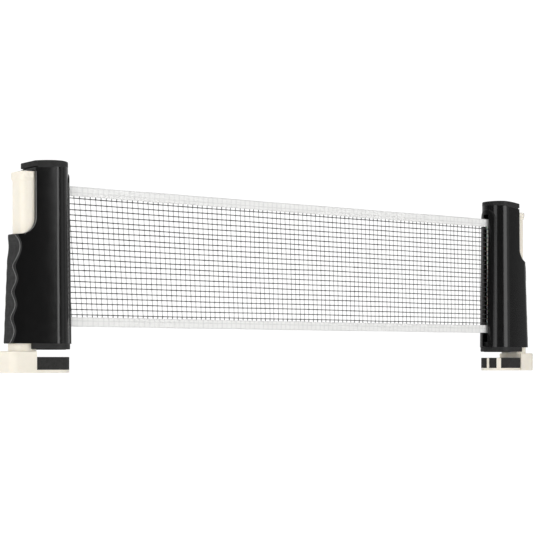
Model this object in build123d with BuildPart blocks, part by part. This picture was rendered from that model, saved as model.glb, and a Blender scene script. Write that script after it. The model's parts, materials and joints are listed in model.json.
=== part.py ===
from build123d import *
import math
import os

# A retractable table-tennis net: a mesh net between two clamp posts. The net winds onto a sprung
# reel in the left post, and its free end is held in the right post.
# Millimetres. X runs along the net, Y across it and Z up. The ground is Z = 0, and the origin is
# on the ground half way between the posts. A post's pieces are drawn in the post's own frame: its
# tube stands on the axis, the net leaves it towards +X and its handle points to -X.

# ---------------------------------------------------------------- the whole
NET_HEIGHT_OVER_TABLE = 152.5   # the height the rules give a net
POST_SPACING = 586.0            # between the two tube axes, as set down
JAW_PLANE = 21.3                # underside of the upper jaw, which rests on the table
FIT = 0.3                       # slack between a sliding piece and its channel
THROUGH = 38.0                  # half the width of a cut that goes right through a post
FAR_OUTBOARD_X = -94.0          # where such a cut ends, beyond the handle

# ---------------------------------------------------------------- the housing's plan and heights
HOUSING_FOOT = 26.8             # lower end of the housing, on the bottom cap
FORM_TOP = 200.0                # where the tapering outer form is drawn to, before it is cut
FOOT_TUBE_R = 19.0
TOP_TUBE_R = 17.0
FOOT_NOSE_X = -32.3             # centre of the nose's corners at the foot
TOP_NOSE_X = -24.6
NOSE_R = 12.0
NOSE_HALF_FLAT = 2.0
FLANK_R = 300.0                 # the flanks bow out a little
WALL = 2.0
END_X = -22.0                   # upright end of the housing above the handle
HANDLE_TOP = 126.5
CUTOUT_R = 15.0
ROOF_UNDERSIDE = 185.6
CAP_SEAT_INBOARD = 190.8        # the cap's seat slopes down towards the handle
CAP_SEAT_OUTBOARD = 187.4
CAP_CROWN = 195.5
CAP_CROWN_R = 240.0
CAP_CROWN_X = 6.0
CAP_GROOVE = 1.3
CAP_GROOVE_DEPTH = 2.4
CAP_EDGE_R = 1.0

# ---------------------------------------------------------------- the net slot and its flange
SLOT_WIDTH = 8.0
SLOT_FOOT = 28.0
SLOT_TOP = 180.0
FLANGE_HALF_WIDTH = 11.0
FLANGE_TOP = 186.0
FLANGE_PROUD = 1.2
FLANGE_EDGE_R = 0.8

# ---------------------------------------------------------------- the slider: lever, column and lower jaw
LEVER_X = -34.3
LEVER_HALF_WIDTH = 11.8
LEVER_CORNER_R = 6.0
LEVER_TOP = 183.9
LEVER_BACK_X = -20.0
LIP_X = -35.2
LIP_BACK_X = -23.5
LIP_HALF_WIDTH = 13.2
LIP_HEIGHT = 5.3
LIP_FLARE = 4.0
LIP_EDGE_R = 1.0
LEVER_WALL = 2.4
HOLLOW_BACK_X = -13.4           # past the column's back, so that its hollow is open there
COLUMN_FLOOR = 32.0
NECK_X = -39.0
NECK_TOP = 29.0
JAW_BLOCK_X = -47.0
JAW_BLOCK_FACE_X = -22.2
JAW_BLOCK_HALF_WIDTH = 17.4
JAW_BLOCK_R = 9.0
JAW_BLOCK_TOP = 19.9
JAW_EDGE_R = 1.5
PLATE_THICKNESS = 2.8
PAD_TOP = 14.6
PAD_INSET = 0.8
RIB_DEPTH = 2.6
RIBS = ((51.0, 5.2), (10.0, 3.2))    # the angle of each locating rib, and its width

# ---------------------------------------------------------------- the finger grip
FINGER_PITCH = 23.8
FINGER_COUNT = 3
LOWEST_CREST = 26.2
CREST_DEPTH = 0.3
GROOVE_DEPTH = 2.3
REST_DEPTH = 1.7                # the plain rest for the first finger, above the grooves
GRIP_THICKNESS = 1.6
GRIP_LIP = 3.4

# ---------------------------------------------------------------- clamp spring
SPRING_X = -26.4
SPRING_R = 4.6
SPRING_WIRE_R = 0.55
SPRING_TURNS = 15
SEAT_TOP = 78.0
SEAT_THICKNESS = 5.0
SEAT_END_X = -30.4
SEAT_HALF_WIDTH = 7.8
SPRING_ROD_R = 2.6
SPRING_ROD_TOP = 134.0
SPRING_ROD_CHAMFER = 0.55

# ---------------------------------------------------------------- caps
BOTTOM_CAP_FOOT = 21.6
BOTTOM_CAP_END_X = -25.4
CAP_CHAMFER = 0.6
PLUG_SLACK = 0.15
BOTTOM_PLUG_TOP = 33.0
TOP_PLUG_FOOT = 183.0
UPPER_PAD_R = 15.0
UPPER_PAD_THICKNESS = 1.5
SCREW_X = -14.6
SCREW_Y = 12.3
SCREW_R = 1.2
SCREW_HEAD_R = 2.2
SCREW_HEAD_HEIGHT = 1.4
SCREW_LENGTH = 11.0
SCREW_SLACK = 0.1
SCREW_SEAT_TOP = 191.4

# ---------------------------------------------------------------- net
NET_TOP = JAW_PLANE + NET_HEIGHT_OVER_TABLE
NET_HEIGHT = 130.0
TAPE_HEIGHT = 9.5
TAPE_THICKNESS = 1.0
MESH_THICKNESS = 0.8
NET_FOOT = NET_TOP - NET_HEIGHT
REEL_END_INSET = 15.0           # from the left tube's axis to where the roll lets the net go
ANCHOR_END_INSET = 12.4         # from the right tube's axis to the net's clipped end
NET_START = -POST_SPACING / 2 + REEL_END_INSET
NET_END = POST_SPACING / 2 - ANCHOR_END_INSET

# ---------------------------------------------------------------- reel
SPOOL_CORE_R = 6.5
SPOOL_CORE_WALL = 1.0
SPOOL_DISC_R = 13.6
SPOOL_DISC_THICKNESS = 1.5
SPOOL_FOOT = 39.0
SPOOL_TOP = 178.5
ROLL_R = 12.6
AXLE_R = 1.8
AXLE_FOOT = 24.0
AXLE_TOP = 189.0
AXLE_CHAMFER = 0.25
RUNNING_CLEARANCE = 0.05
BUSH_R = 4.4
BUSH_HEIGHT = 5.0
REEL_SPRING_R = 3.9
REEL_SPRING_WIRE_R = 0.45
REEL_SPRING_TURNS = 12
REEL_SPRING_FOOT = 66.0
REEL_SPRING_TOP = 150.0
PLUG_HEIGHT = 8.0
COLLAR_HEIGHT = 4.0

# ---------------------------------------------------------------- anchor in the right post
ANCHOR_X = 8.0
ANCHOR_ROD_R = 1.8
ANCHOR_CLIP_R = 3.6
ANCHOR_CLIP_REACH = 6.6
ANCHOR_GAP = 1.6
ANCHOR_JAW = 1.0

POSTS = {
    "left": Location((-POST_SPACING / 2, 0, 0)),
    "right": Location((POST_SPACING / 2, 0, 0), (0, 0, 180)),
}

LEFT = POSTS["left"]
RIGHT = POSTS["right"]
UPRIGHT = (Align.CENTER, Align.CENTER, Align.MIN)
HANGING = (Align.CENTER, Align.CENTER, Align.MAX)
SCREW_PLACES = ((SCREW_X, -SCREW_Y), (SCREW_X, SCREW_Y))

os.makedirs("parts", exist_ok=True)


def write(piece, name, place=Location()):
    """Write a piece's STEP file, with the piece moved to its place."""
    placed = piece.part.moved(place)
    placed.label = name
    export_step(placed, f"parts/{name}.step")


def write_on_both_posts(piece, name):
    """Write a post's piece once for each post."""
    for side, place in POSTS.items():
        write(piece, f"{side}_{name}", place)


def at_height(foot_value, top_value, height):
    """A size of the tapering outer form, at a height."""
    share = (height - HOUSING_FOOT) / (FORM_TOP - HOUSING_FOOT)
    return foot_value + (top_value - foot_value) * share


def post_outline(tube_r, nose_x):
    """Draw the post's plan: round over the reel, with bowed flanks that run to a blunt nose."""
    corner = Vector(nose_x, NOSE_HALF_FLAT)
    to_tube = FLANK_R - tube_r
    to_corner = FLANK_R - NOSE_R
    span = corner.length
    along = (to_tube**2 - to_corner**2 + span**2) / (2 * span)
    across = math.sqrt(to_tube**2 - along**2)
    way = corner.normalized()
    flank = way * along + Vector(-way.Y, way.X) * across
    tube_end = flank.normalized() * -tube_r
    corner_start = corner + (corner - flank).normalized() * NOSE_R
    flank_middle = flank + ((tube_end + corner_start) / 2 - flank).normalized() * FLANK_R
    nose = Vector(nose_x - NOSE_R, NOSE_HALF_FLAT)
    corner_middle = corner + ((corner_start + nose) / 2 - corner).normalized() * NOSE_R
    tube_middle = (Vector(tube_r, 0) + tube_end).normalized() * tube_r
    with BuildLine() as outline:
        ThreePointArc((tube_r, 0), tube_middle, tube_end)
        ThreePointArc(tube_end, flank_middle, corner_start)
        ThreePointArc(corner_start, corner_middle, nose)
        Line(nose, (nose.X, 0))
        mirror(about=Plane.XZ)
    make_face(outline.edges())


def end_block(outboard, inboard, half_width, corner_r):
    """Draw a block's plan, with its two outboard corners rounded."""
    with BuildLine() as outline:
        Polyline(
            (inboard, -half_width),
            (outboard, -half_width),
            (outboard, half_width),
            (inboard, half_width),
            close=True,
        )
    block = make_face(outline.edges())
    fillet(block.vertices().group_by(Axis.X)[0], corner_r)


def rib_plan(angle, width):
    """Draw the plan of one of the lower jaw's locating ribs, flush with the plate's round end."""
    end_r = FOOT_TUBE_R - PAD_INSET
    with BuildSketch(mode=Mode.PRIVATE) as rib:
        with Locations(Location((0, 0, 0), (0, 0, angle))):
            with Locations((end_r - RIB_DEPTH / 2, 0)):
                Rectangle(RIB_DEPTH, width)
        Circle(end_r, mode=Mode.INTERSECT)
    add(rib.sketch)


# ---------------------------------------------------------------- outer form of housing, caps and grip
with BuildPart() as outer_form:
    with BuildSketch(Plane.XY.offset(HOUSING_FOOT)):
        post_outline(FOOT_TUBE_R, FOOT_NOSE_X)
    with BuildSketch(Plane.XY.offset(FORM_TOP)):
        post_outline(TOP_TUBE_R, TOP_NOSE_X)
    loft(ruled=True)

with BuildPart() as cutout:
    with BuildSketch(Plane.XZ):
        with BuildLine():
            Polyline(
                (END_X, HANDLE_TOP),
                (FAR_OUTBOARD_X, HANDLE_TOP),
                (FAR_OUTBOARD_X, FORM_TOP),
                (END_X, FORM_TOP),
                close=True,
            )
        make_face()
        fillet(vertices().sort_by_distance((END_X, 0, HANDLE_TOP))[0], CUTOUT_R)
    extrude(amount=THROUGH, both=True)

CAP_SEAT_RISE = (CAP_SEAT_INBOARD - CAP_SEAT_OUTBOARD) / (TOP_TUBE_R - END_X)
cap_seat = Plane(
    origin=(TOP_TUBE_R, 0, CAP_SEAT_INBOARD),
    x_dir=(1, 0, CAP_SEAT_RISE),
    z_dir=(-CAP_SEAT_RISE, 0, 1),
)


def front_at(height):
    """X of the nose's front, at a height."""
    return at_height(FOOT_NOSE_X, TOP_NOSE_X, height) - NOSE_R


def outboard_of_grip(depth, top):
    """The region outboard of the finger grooves' wave, set in by a depth, up to a height."""
    lowest = LOWEST_CREST - FINGER_PITCH / 2
    wave = [(front_at(lowest) + GROOVE_DEPTH + depth, lowest)]
    for finger in range(FINGER_COUNT):
        crest = LOWEST_CREST + finger * FINGER_PITCH
        groove = crest + FINGER_PITCH / 2
        wave.append((front_at(crest) + CREST_DEPTH + depth, crest))
        wave.append((front_at(groove) + GROOVE_DEPTH + depth, groove))
    last_crest = LOWEST_CREST + FINGER_COUNT * FINGER_PITCH
    wave.append((front_at(last_crest) + CREST_DEPTH + depth, last_crest))
    rest_foot = last_crest + FINGER_PITCH / 4
    rest_top = top - GRIP_LIP
    wave.append((front_at(rest_foot) + REST_DEPTH + depth, rest_foot))
    wave.append((front_at(rest_top) + REST_DEPTH + depth, rest_top))
    lip = (front_at(top) + CREST_DEPTH + depth, top)
    far = FAR_OUTBOARD_X
    with BuildPart(mode=Mode.PRIVATE) as region:
        with BuildSketch(Plane.XZ):
            with BuildLine():
                Spline(*wave)
                Polyline(wave[-1], lip, (far, top), (far, lowest), wave[0])
            make_face()
        extrude(amount=THROUGH, both=True)
    return region.part


# ---------------------------------------------------------------- housing: tube, handle and net slot
with BuildPart() as flange:
    with BuildSketch(Plane.XY.offset(HOUSING_FOOT)):
        Circle(FOOT_TUBE_R + FLANGE_PROUD)
    with BuildSketch(Plane.XY.offset(FORM_TOP)):
        Circle(TOP_TUBE_R + FLANGE_PROUD)
    loft(ruled=True)
    with BuildSketch(Plane.YZ):
        with Locations((0, (HOUSING_FOOT + FLANGE_TOP - FLANGE_HALF_WIDTH) / 2)):
            Rectangle(2 * FLANGE_HALF_WIDTH, FLANGE_TOP - FLANGE_HALF_WIDTH - HOUSING_FOOT)
        with Locations((0, FLANGE_TOP - FLANGE_HALF_WIDTH)):
            Circle(FLANGE_HALF_WIDTH)
    extrude(amount=THROUGH, mode=Mode.INTERSECT)
    rim = faces().sort_by(Axis.X)[-1].edges()
    fillet(rim.sort_by(Axis.Z)[1:], FLANGE_EDGE_R)

with BuildPart() as housing:
    add(outer_form)
    add(flange)
    split(bisect_by=cap_seat, keep=Keep.BOTTOM)
    add(cutout, mode=Mode.SUBTRACT)
    # the reel's bore
    with BuildSketch(Plane.XY.offset(HOUSING_FOOT)):
        Circle(FOOT_TUBE_R - WALL)
    with BuildSketch(Plane.XY.offset(FORM_TOP)):
        Circle(TOP_TUBE_R - WALL)
    loft(ruled=True, mode=Mode.SUBTRACT)
    # the slider's channel, wider at the foot for its neck
    with BuildSketch(Plane.XY.offset(HOUSING_FOOT)):
        end_block(LEVER_X - FIT, LEVER_BACK_X + FIT, LEVER_HALF_WIDTH + FIT, LEVER_CORNER_R)
    extrude(amount=ROOF_UNDERSIDE - HOUSING_FOOT, mode=Mode.SUBTRACT)
    with BuildSketch(Plane.XY.offset(HOUSING_FOOT)):
        end_block(NECK_X - FIT, LEVER_BACK_X + FIT, LEVER_HALF_WIDTH + FIT, LEVER_CORNER_R)
    extrude(amount=NECK_TOP + FIT - HOUSING_FOOT, mode=Mode.SUBTRACT)
    # the net slot
    with BuildSketch(Plane.YZ):
        with Locations((0, (SLOT_FOOT + SLOT_TOP) / 2)):
            Rectangle(SLOT_WIDTH, SLOT_TOP - SLOT_FOOT)
    extrude(amount=THROUGH, mode=Mode.SUBTRACT)
    # the seat for the grip
    add(outboard_of_grip(GRIP_THICKNESS, HANDLE_TOP + FIT), mode=Mode.SUBTRACT)
    # holes for the caps' screws
    with Locations(*[(x, y, HOUSING_FOOT) for x, y in SCREW_PLACES]):
        Cylinder(SCREW_R, SCREW_LENGTH, align=UPRIGHT, mode=Mode.SUBTRACT)
    with Locations(*[(x, y, CAP_SEAT_INBOARD) for x, y in SCREW_PLACES]):
        Cylinder(SCREW_R, SCREW_LENGTH, align=HANGING, mode=Mode.SUBTRACT)
write_on_both_posts(housing, "housing")

# ---------------------------------------------------------------- grip: a thin insert with finger grooves
with BuildPart() as grip:
    add(outer_form)
    split(bisect_by=Plane.XY.offset(HANDLE_TOP), keep=Keep.BOTTOM)
    add(outboard_of_grip(GRIP_THICKNESS, HANDLE_TOP + FIT), mode=Mode.INTERSECT)
    add(outboard_of_grip(0, HANDLE_TOP + FIT), mode=Mode.SUBTRACT)
write_on_both_posts(grip, "grip")

# ---------------------------------------------------------------- caps
with BuildPart() as crown:
    with BuildSketch(Plane.XZ):
        with Locations((CAP_CROWN_X, CAP_CROWN - CAP_CROWN_R)):
            Circle(CAP_CROWN_R)
    extrude(amount=THROUGH, both=True)

with BuildPart() as top_cap:
    add(outer_form)
    split(bisect_by=cap_seat, keep=Keep.TOP)
    add(cutout, mode=Mode.SUBTRACT)
    add(crown, mode=Mode.INTERSECT)
    fillet(edges().group_by(Axis.Z)[-1], CAP_EDGE_R)
    # the shadow groove over the housing's roof
    with Locations((END_X, 0, CAP_SEAT_OUTBOARD)):
        Box(
            2 * CAP_GROOVE_DEPTH,
            2 * THROUGH,
            2 * CAP_GROOVE,
            mode=Mode.SUBTRACT,
        )
    # the plug that centres the cap in the tube, and holds the axle
    with BuildSketch(Plane.XY.offset(TOP_PLUG_FOOT)):
        Circle(at_height(FOOT_TUBE_R, TOP_TUBE_R, CAP_SEAT_INBOARD) - WALL - PLUG_SLACK)
    extrude(amount=CAP_SEAT_INBOARD - TOP_PLUG_FOOT)
    with Locations((0, 0, TOP_PLUG_FOOT)):
        Cylinder(
            AXLE_R + RUNNING_CLEARANCE,
            AXLE_TOP + FIT - TOP_PLUG_FOOT,
            align=UPRIGHT,
            mode=Mode.SUBTRACT,
        )
    with Locations(*[(x, y, CAP_CROWN) for x, y in SCREW_PLACES]):
        CounterBoreHole(SCREW_R, SCREW_HEAD_R, CAP_CROWN - SCREW_SEAT_TOP)
write_on_both_posts(top_cap, "top_cap")

with BuildPart() as bottom_cap:
    with BuildSketch(Plane.XY.offset(BOTTOM_CAP_FOOT)):
        post_outline(FOOT_TUBE_R, FOOT_NOSE_X)
    extrude(amount=HOUSING_FOOT - BOTTOM_CAP_FOOT)
    split(bisect_by=Plane.YZ.offset(BOTTOM_CAP_END_X), keep=Keep.TOP)
    chamfer(edges().group_by(Axis.Z)[0], CAP_CHAMFER)
    # room for the slider's neck
    with BuildSketch(Plane.XY.offset(BOTTOM_CAP_FOOT)):
        end_block(NECK_X - FIT, LEVER_BACK_X + FIT, LEVER_HALF_WIDTH + FIT, LEVER_CORNER_R)
    extrude(amount=HOUSING_FOOT - BOTTOM_CAP_FOOT, mode=Mode.SUBTRACT)
    # the plug that centres the cap in the tube, and holds the axle
    with BuildSketch(Plane.XY.offset(HOUSING_FOOT)):
        Circle(at_height(FOOT_TUBE_R, TOP_TUBE_R, BOTTOM_PLUG_TOP) - WALL - PLUG_SLACK)
    extrude(amount=BOTTOM_PLUG_TOP - HOUSING_FOOT)
    with Locations((0, 0, AXLE_FOOT)):
        Cylinder(
            AXLE_R + RUNNING_CLEARANCE,
            BOTTOM_PLUG_TOP - AXLE_FOOT,
            align=UPRIGHT,
            mode=Mode.SUBTRACT,
        )
    # the seat for the upper pad
    with Locations((0, 0, BOTTOM_CAP_FOOT)):
        Cylinder(
            UPPER_PAD_R,
            JAW_PLANE + UPPER_PAD_THICKNESS - BOTTOM_CAP_FOOT,
            align=UPRIGHT,
            mode=Mode.SUBTRACT,
        )
    # holes for its screws, with their heads' counterbores
    with Locations(*[(x, y, BOTTOM_CAP_FOOT) for x, y in SCREW_PLACES]):
        Cylinder(SCREW_R, SCREW_LENGTH, align=UPRIGHT, mode=Mode.SUBTRACT)
        Cylinder(SCREW_HEAD_R, SCREW_HEAD_HEIGHT + FIT, align=UPRIGHT, mode=Mode.SUBTRACT)
write_on_both_posts(bottom_cap, "bottom_cap")

with BuildPart() as upper_pad:
    with Locations((0, 0, JAW_PLANE)):
        Cylinder(UPPER_PAD_R, UPPER_PAD_THICKNESS, align=UPRIGHT)
write_on_both_posts(upper_pad, "upper_pad")

# ---------------------------------------------------------------- slider: lever, column and lower jaw
with BuildPart() as slider:
    # the column inside the housing, which shows above the handle as the lever
    with BuildSketch(Plane.XY.offset(NECK_TOP)):
        end_block(LEVER_X, LEVER_BACK_X, LEVER_HALF_WIDTH, LEVER_CORNER_R)
    extrude(amount=LEVER_TOP - NECK_TOP)
    # the flared lip at its top
    with BuildSketch(Plane.XY.offset(LEVER_TOP - LIP_HEIGHT - LIP_FLARE)):
        end_block(LEVER_X + FIT, LIP_BACK_X, LEVER_HALF_WIDTH - FIT, LEVER_CORNER_R)
    with BuildSketch(Plane.XY.offset(LEVER_TOP - LIP_HEIGHT)):
        end_block(LIP_X, LIP_BACK_X, LIP_HALF_WIDTH, LEVER_CORNER_R)
    loft(ruled=True)
    with BuildSketch(Plane.XY.offset(LEVER_TOP - LIP_HEIGHT)):
        end_block(LIP_X, LIP_BACK_X, LIP_HALF_WIDTH, LEVER_CORNER_R)
    extrude(amount=LIP_HEIGHT)
    fillet(faces().sort_by(Axis.Z)[-1].edges().filter_by(GeomType.LINE, reverse=True), LIP_EDGE_R)
    # the neck under the handle
    with BuildSketch(Plane.XY.offset(JAW_BLOCK_TOP)):
        end_block(NECK_X, LEVER_BACK_X, LEVER_HALF_WIDTH, LEVER_CORNER_R)
    extrude(amount=NECK_TOP - JAW_BLOCK_TOP)
    # the lower jaw: its block and its plate
    with BuildSketch():
        end_block(JAW_BLOCK_X, JAW_BLOCK_FACE_X, JAW_BLOCK_HALF_WIDTH, JAW_BLOCK_R)
    extrude(amount=JAW_BLOCK_TOP)
    top_rim = edges().filter_by_position(Axis.Z, JAW_BLOCK_TOP, JAW_BLOCK_TOP)
    fillet(top_rim.group_by(Axis.X)[0], JAW_EDGE_R)
    with BuildSketch():
        post_outline(FOOT_TUBE_R - PAD_INSET, FOOT_NOSE_X)
    extrude(amount=PLATE_THICKNESS)
    # the hollow in the column, open towards the reel, for the return spring
    with BuildSketch(Plane.XY.offset(COLUMN_FLOOR)):
        end_block(
            LEVER_X + LEVER_WALL,
            HOLLOW_BACK_X,
            LEVER_HALF_WIDTH - LEVER_WALL,
            LEVER_CORNER_R - LEVER_WALL,
        )
    extrude(amount=LEVER_TOP - LEVER_WALL - COLUMN_FLOOR, mode=Mode.SUBTRACT)
    # the locating ribs at the end of the plate
    for angle, width in RIBS:
        with BuildSketch(Plane.XY.offset(PLATE_THICKNESS)):
            rib_plan(angle, width)
        extrude(amount=PAD_TOP - FIT - PLATE_THICKNESS)
write_on_both_posts(slider, "slider")

with BuildPart() as jaw_pad:
    with BuildSketch(Plane.XY.offset(PLATE_THICKNESS)):
        post_outline(FOOT_TUBE_R - PAD_INSET, FOOT_NOSE_X)
    extrude(amount=PAD_TOP - PLATE_THICKNESS)
    split(bisect_by=Plane.YZ.offset(JAW_BLOCK_FACE_X), keep=Keep.TOP)
    for angle, width in RIBS:
        with BuildSketch(Plane.XY.offset(PLATE_THICKNESS)):
            rib_plan(angle, width)
        extrude(amount=PAD_TOP - PLATE_THICKNESS, mode=Mode.SUBTRACT)
write_on_both_posts(jaw_pad, "jaw_pad")

# ---------------------------------------------------------------- return spring, its seat and its guide rod
with BuildPart() as spring_seat:
    with Locations((LEVER_BACK_X + FIT, 0, SEAT_TOP)):
        Box(
            LEVER_BACK_X + FIT - SEAT_END_X,
            2 * SEAT_HALF_WIDTH,
            SEAT_THICKNESS,
            align=(Align.MAX, Align.CENTER, Align.MAX),
        )
    with Locations((SPRING_X, 0, SEAT_TOP)):
        Hole(SPRING_ROD_R)
write_on_both_posts(spring_seat, "spring_seat")

with BuildPart() as spring_rod:
    with Locations((SPRING_X, 0, SEAT_TOP - SEAT_THICKNESS)):
        Cylinder(
            SPRING_ROD_R,
            SPRING_ROD_TOP - SEAT_TOP + SEAT_THICKNESS,
            align=UPRIGHT,
        )
    chamfer(edges().group_by(Axis.Z)[-1], SPRING_ROD_CHAMFER)
write_on_both_posts(spring_rod, "spring_rod")


def coil(foot, top, radius, wire_r, turns, axis_x):
    """A coil spring, drawn as a round wire along a helix."""
    pitch = (top - foot - 2 * wire_r) / turns
    with BuildPart(mode=Mode.PRIVATE) as spring:
        with BuildLine(Plane.XY.offset(foot + wire_r)):
            path = Helix(pitch, pitch * turns, radius)
        with BuildSketch(path ^ 0):
            Circle(wire_r)
        sweep(is_frenet=True)
    return spring.part.moved(Location((axis_x, 0, 0)))


with BuildPart() as return_spring:
    add(
        coil(
            SEAT_TOP,
            LEVER_TOP - LEVER_WALL,
            SPRING_R,
            SPRING_WIRE_R,
            SPRING_TURNS,
            SPRING_X,
        )
    )
write_on_both_posts(return_spring, "return_spring")

# ---------------------------------------------------------------- screws
with BuildPart() as top_screws:
    with Locations(*[(x, y, SCREW_SEAT_TOP) for x, y in SCREW_PLACES]):
        Cylinder(SCREW_HEAD_R - SCREW_SLACK, SCREW_HEAD_HEIGHT, align=UPRIGHT)
        Cylinder(SCREW_R, SCREW_LENGTH, align=HANGING)
write_on_both_posts(top_screws, "top_screws")

with BuildPart() as base_screws:
    with Locations(*[(x, y, BOTTOM_CAP_FOOT + FIT) for x, y in SCREW_PLACES]):
        Cylinder(SCREW_HEAD_R - SCREW_SLACK, SCREW_HEAD_HEIGHT, align=UPRIGHT)
        Cylinder(SCREW_R, SCREW_LENGTH, align=UPRIGHT)
write_on_both_posts(base_screws, "base_screws")

# ---------------------------------------------------------------- reel in the left post
with BuildPart() as reel_spool:
    with Locations((0, 0, SPOOL_FOOT)):
        Cylinder(SPOOL_CORE_R, SPOOL_TOP - SPOOL_FOOT, align=UPRIGHT)
    with Locations((0, 0, SPOOL_FOOT), (0, 0, SPOOL_TOP - SPOOL_DISC_THICKNESS)):
        Cylinder(SPOOL_DISC_R, SPOOL_DISC_THICKNESS, align=UPRIGHT)
    with Locations((0, 0, SPOOL_FOOT)):
        Cylinder(
            SPOOL_CORE_R - SPOOL_CORE_WALL,
            SPOOL_TOP - SPOOL_FOOT,
            align=UPRIGHT,
            mode=Mode.SUBTRACT,
        )
write(reel_spool, "reel_spool", LEFT)

with BuildPart() as reel_axle:
    with Locations((0, 0, AXLE_FOOT)):
        Cylinder(AXLE_R, AXLE_TOP - AXLE_FOOT, align=UPRIGHT)
    chamfer(edges().filter_by(GeomType.CIRCLE), AXLE_CHAMFER)
write(reel_axle, "reel_axle", LEFT)

BUSH_BORE_R = AXLE_R + RUNNING_CLEARANCE
BUSHES = {
    "reel_bottom_bush": (SPOOL_FOOT, BUSH_HEIGHT),
    "reel_top_bush": (SPOOL_TOP - BUSH_HEIGHT, BUSH_HEIGHT),
    "reel_spring_plug": (REEL_SPRING_TOP, PLUG_HEIGHT),
}
for name, (foot, height) in BUSHES.items():
    with BuildPart() as bush:
        with Locations((0, 0, foot)):
            Cylinder(SPOOL_CORE_R - SPOOL_CORE_WALL, height, align=UPRIGHT)
            Cylinder(BUSH_BORE_R, height, align=UPRIGHT, mode=Mode.SUBTRACT)
    write(bush, name, LEFT)

with BuildPart() as reel_spring:
    add(
        coil(
            REEL_SPRING_FOOT,
            REEL_SPRING_TOP,
            REEL_SPRING_R,
            REEL_SPRING_WIRE_R,
            REEL_SPRING_TURNS,
            0,
        )
    )
write(reel_spring, "reel_spring", LEFT)

with BuildPart() as spring_collar:
    with Locations((0, 0, REEL_SPRING_FOOT - COLLAR_HEIGHT)):
        Cylinder(BUSH_R, COLLAR_HEIGHT, align=UPRIGHT)
        Cylinder(AXLE_R, COLLAR_HEIGHT, align=UPRIGHT, mode=Mode.SUBTRACT)
write(spring_collar, "reel_spring_collar", LEFT)

with BuildPart() as net_roll:
    with Locations((0, 0, NET_FOOT)):
        Cylinder(ROLL_R, NET_HEIGHT, align=UPRIGHT)
        Cylinder(SPOOL_CORE_R, NET_HEIGHT, align=UPRIGHT, mode=Mode.SUBTRACT)
write(net_roll, "net_roll", LEFT)

# ---------------------------------------------------------------- anchor in the right post
with BuildPart() as anchor_rod:
    with Locations((ANCHOR_X, 0, BOTTOM_PLUG_TOP)):
        Cylinder(ANCHOR_ROD_R, TOP_PLUG_FOOT - BOTTOM_PLUG_TOP, align=UPRIGHT)
write(anchor_rod, "anchor_rod", RIGHT)

with BuildPart() as anchor_clip:
    with BuildSketch(Plane.XY.offset(NET_FOOT)):
        with Locations((ANCHOR_X, 0)):
            Circle(ANCHOR_CLIP_R)
        with Locations((ANCHOR_X + ANCHOR_CLIP_REACH / 2, 0)):
            Rectangle(ANCHOR_CLIP_REACH, ANCHOR_GAP + 2 * ANCHOR_JAW)
        with Locations((ANCHOR_X, 0)):
            Circle(ANCHOR_ROD_R, mode=Mode.SUBTRACT)
        with Locations((ANCHOR_X, 0)):
            Rectangle(ANCHOR_CLIP_REACH, ANCHOR_GAP, align=(Align.MIN, Align.CENTER), mode=Mode.SUBTRACT)
    extrude(amount=NET_HEIGHT)
write(anchor_clip, "anchor_clip", RIGHT)

# ---------------------------------------------------------------- net: a mesh panel between two tapes
NET_LENGTH = NET_END - NET_START
TAPES = {"net_top_tape": NET_TOP - TAPE_HEIGHT, "net_bottom_tape": NET_FOOT}
for name, foot in TAPES.items():
    with BuildPart() as tape:
        with Locations((NET_START, 0, foot)):
            Box(
                NET_LENGTH,
                TAPE_THICKNESS,
                TAPE_HEIGHT,
                align=(Align.MIN, Align.CENTER, Align.MIN),
            )
    write(tape, name)

with BuildPart() as net_mesh:
    with Locations((NET_START, 0, NET_FOOT + TAPE_HEIGHT)):
        Box(
            NET_LENGTH,
            MESH_THICKNESS,
            NET_HEIGHT - 2 * TAPE_HEIGHT,
            align=(Align.MIN, Align.CENTER, Align.MIN),
        )
write(net_mesh, "net_mesh")
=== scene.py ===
import json
import math
import random

import bpy
import numpy as np
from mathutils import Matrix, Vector
from mathutils.bvhtree import BVHTree

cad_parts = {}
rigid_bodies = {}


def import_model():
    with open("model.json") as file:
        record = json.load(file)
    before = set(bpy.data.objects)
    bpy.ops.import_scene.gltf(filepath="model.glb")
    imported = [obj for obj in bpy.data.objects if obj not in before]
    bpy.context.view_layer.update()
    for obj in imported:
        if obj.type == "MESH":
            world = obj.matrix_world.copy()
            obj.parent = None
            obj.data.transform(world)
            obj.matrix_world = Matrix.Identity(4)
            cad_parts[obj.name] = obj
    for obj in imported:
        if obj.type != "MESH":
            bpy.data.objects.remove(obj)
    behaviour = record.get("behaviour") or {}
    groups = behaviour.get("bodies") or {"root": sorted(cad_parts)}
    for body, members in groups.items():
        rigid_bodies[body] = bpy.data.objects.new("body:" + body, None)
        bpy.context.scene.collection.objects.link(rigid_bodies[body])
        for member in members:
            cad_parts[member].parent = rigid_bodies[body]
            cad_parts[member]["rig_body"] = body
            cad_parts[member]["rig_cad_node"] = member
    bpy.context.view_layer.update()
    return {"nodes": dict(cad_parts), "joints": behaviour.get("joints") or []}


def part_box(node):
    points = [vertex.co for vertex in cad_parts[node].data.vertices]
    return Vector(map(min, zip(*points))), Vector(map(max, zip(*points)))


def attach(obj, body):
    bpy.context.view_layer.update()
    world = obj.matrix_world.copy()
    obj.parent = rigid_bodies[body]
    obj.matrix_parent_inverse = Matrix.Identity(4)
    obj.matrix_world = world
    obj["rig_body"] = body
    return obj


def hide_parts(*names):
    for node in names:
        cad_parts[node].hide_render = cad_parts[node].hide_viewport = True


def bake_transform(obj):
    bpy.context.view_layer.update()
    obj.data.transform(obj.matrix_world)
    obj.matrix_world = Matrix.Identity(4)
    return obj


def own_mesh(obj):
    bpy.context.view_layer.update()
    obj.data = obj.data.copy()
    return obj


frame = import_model()
nodes = frame["nodes"]
MM = 0.001
SIDES = ("left", "right")
rng = np.random.default_rng(7)
random.seed(7)

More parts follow.
